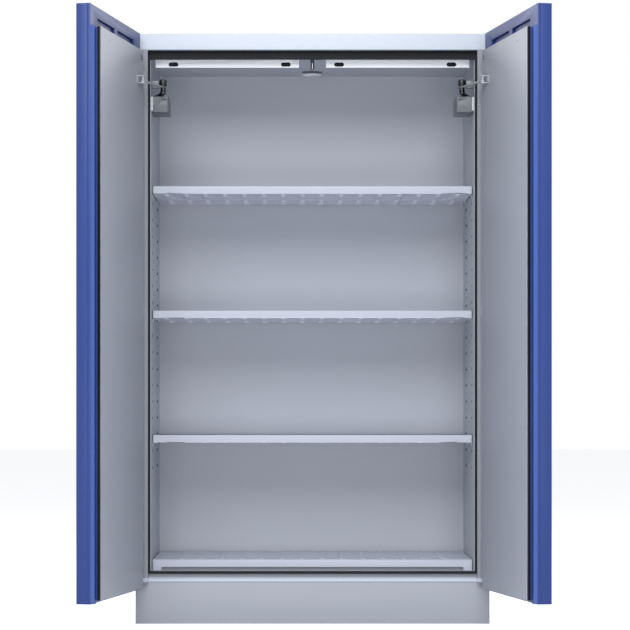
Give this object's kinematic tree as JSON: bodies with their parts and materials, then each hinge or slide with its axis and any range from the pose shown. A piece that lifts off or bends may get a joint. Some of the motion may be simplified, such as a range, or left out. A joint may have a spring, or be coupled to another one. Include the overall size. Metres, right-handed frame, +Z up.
{
  "type": "battery cabinet",
  "caption": "Tall insulated steel safety cabinet with two wing doors on closers, ribbed shelves, a raised bottom tray and a roof vent spigot.",
  "frame": {"origin": "on the floor at the centre of the carcass footprint", "axes": "+Z up, +X to the right seen from the front, +Y from the doors towards the back"},
  "size_m": [1.4842, 1.1635, 2.04],
  "materials": {
    "casing_grey": "satin",
    "plinth_steel": "satin",
    "lining_grey": "satin",
    "shelf_grey": "satin",
    "bar_white": "satin",
    "board": "matte",
    "seal_black": "matte",
    "strip_black": "gloss",
    "door_blue": "satin",
    "zinc": "satin",
    "bright_steel": "polished",
    "dark_steel": "satin",
    "closer_grey": "satin",
    "knob_black": "satin"
  },
  "bodies": {
    "carcass": {"plinth_frame": "plinth_steel", "plinth_skirt": "casing_grey", "levelling_feet": "zinc", "outer_left": "casing_grey", "outer_right": "casing_grey", "outer_back": "casing_grey", "outer_roof": "casing_grey", "outer_base": "casing_grey", "insulation_left": "board", "insulation_right": "board", "insulation_back": "board", "insulation_roof": "board", "insulation_base": "board", "lining_left": "lining_grey", "lining_right": "lining_grey", "lining_back": "lining_grey", "lining_ceiling": "lining_grey", "lining_floor": "lining_grey", "front_frame": "casing_grey", "frame_seal": "seal_black", "bottom_tray": "shelf_grey", "shelf_lower": "shelf_grey", "shelf_middle": "shelf_grey", "shelf_upper": "shelf_grey", "shelf_clips": "zinc", "vent_spigot": "casing_grey", "vent_plate": "lining_grey", "head_bar_left": "bar_white", "head_bar_right": "bar_white", "catch_holder": "knob_black", "catch_pin": "bright_steel", "hinge_brackets": "zinc", "left_closer": "closer_grey", "right_closer": "closer_grey", "door_stops": "bright_steel"},
    "left_door": {"left_door_skin": "door_blue", "left_door_frame": "door_blue", "left_door_strip": "strip_black", "left_door_panel": "lining_grey", "left_door_boards": "board", "left_door_screws": "zinc", "left_link_bracket": "bright_steel", "left_hinge_pins": "zinc"},
    "right_door": {"right_door_skin": "door_blue", "right_door_frame": "door_blue", "right_door_strip": "strip_black", "right_door_panel": "lining_grey", "right_door_boards": "board", "right_door_screws": "zinc", "right_link_bracket": "bright_steel", "right_hinge_pins": "zinc", "door_pull": "knob_black"},
    "left_lever": {"left_lever": "dark_steel", "left_knob": "knob_black"},
    "left_link": {"left_link": "bright_steel"},
    "right_lever": {"right_lever": "dark_steel", "right_knob": "knob_black"},
    "right_link": {"right_link": "bright_steel"},
    "lock_cylinder": {"lock_cylinder": "bright_steel"},
    "lock_rod": {"lock_rod": "zinc"}
  },
  "joints": [
    {"name": "left_door_hinge", "type": "hinge", "parent": "carcass", "child": "left_door", "pos_m": [-0.592, -0.297, 1.057], "axis": [0, 0, 1], "range_deg": [0, 101.1]},
    {"name": "right_door_hinge", "type": "hinge", "parent": "carcass", "child": "right_door", "pos_m": [0.592, -0.297, 1.057], "axis": [0, 0, 1], "range_deg": [-101.1, 0]},
    {"name": "left_lever_spindle", "type": "hinge", "parent": "carcass", "child": "left_lever", "pos_m": [-0.5346, -0.138, 1.805], "axis": [0, 0, 1], "range_deg": [0, 101.1]},
    {"name": "right_lever_spindle", "type": "hinge", "parent": "carcass", "child": "right_lever", "pos_m": [0.5346, -0.138, 1.805], "axis": [0, 0, 1], "range_deg": [-101.1, 0]},
    {"name": "left_link_pin", "type": "hinge", "parent": "left_door", "child": "left_link", "pos_m": [-0.56515, -0.39908, 1.82], "axis": [0, 0, 1], "range_deg": [-101.1, 0]},
    {"name": "right_link_pin", "type": "hinge", "parent": "right_door", "child": "right_link", "pos_m": [0.56515, -0.39908, 1.82], "axis": [0, 0, 1], "range_deg": [0, 101.1]},
    {"name": "lock_turn", "type": "hinge", "parent": "right_door", "child": "lock_cylinder", "pos_m": [0.72842, -0.80015, 0.905], "axis": [-0.9813, -0.1925, 0], "range_deg": [-90, 0]},
    {"name": "lock_rod_slide", "type": "slide", "parent": "right_door", "child": "lock_rod", "axis": [0, 0, 1], "range_m": [0, 0.02]}
  ],
  "couplings": [
    {"joint": "left_lever_spindle", "follows": "left_door_hinge", "ratio": 1},
    {"joint": "left_link_pin", "follows": "left_door_hinge", "ratio": -1},
    {"joint": "right_lever_spindle", "follows": "right_door_hinge", "ratio": 1},
    {"joint": "right_link_pin", "follows": "right_door_hinge", "ratio": -1},
    {"joint": "lock_turn", "follows": "lock_rod_slide", "rad_per_m": -78.54}
  ]
}
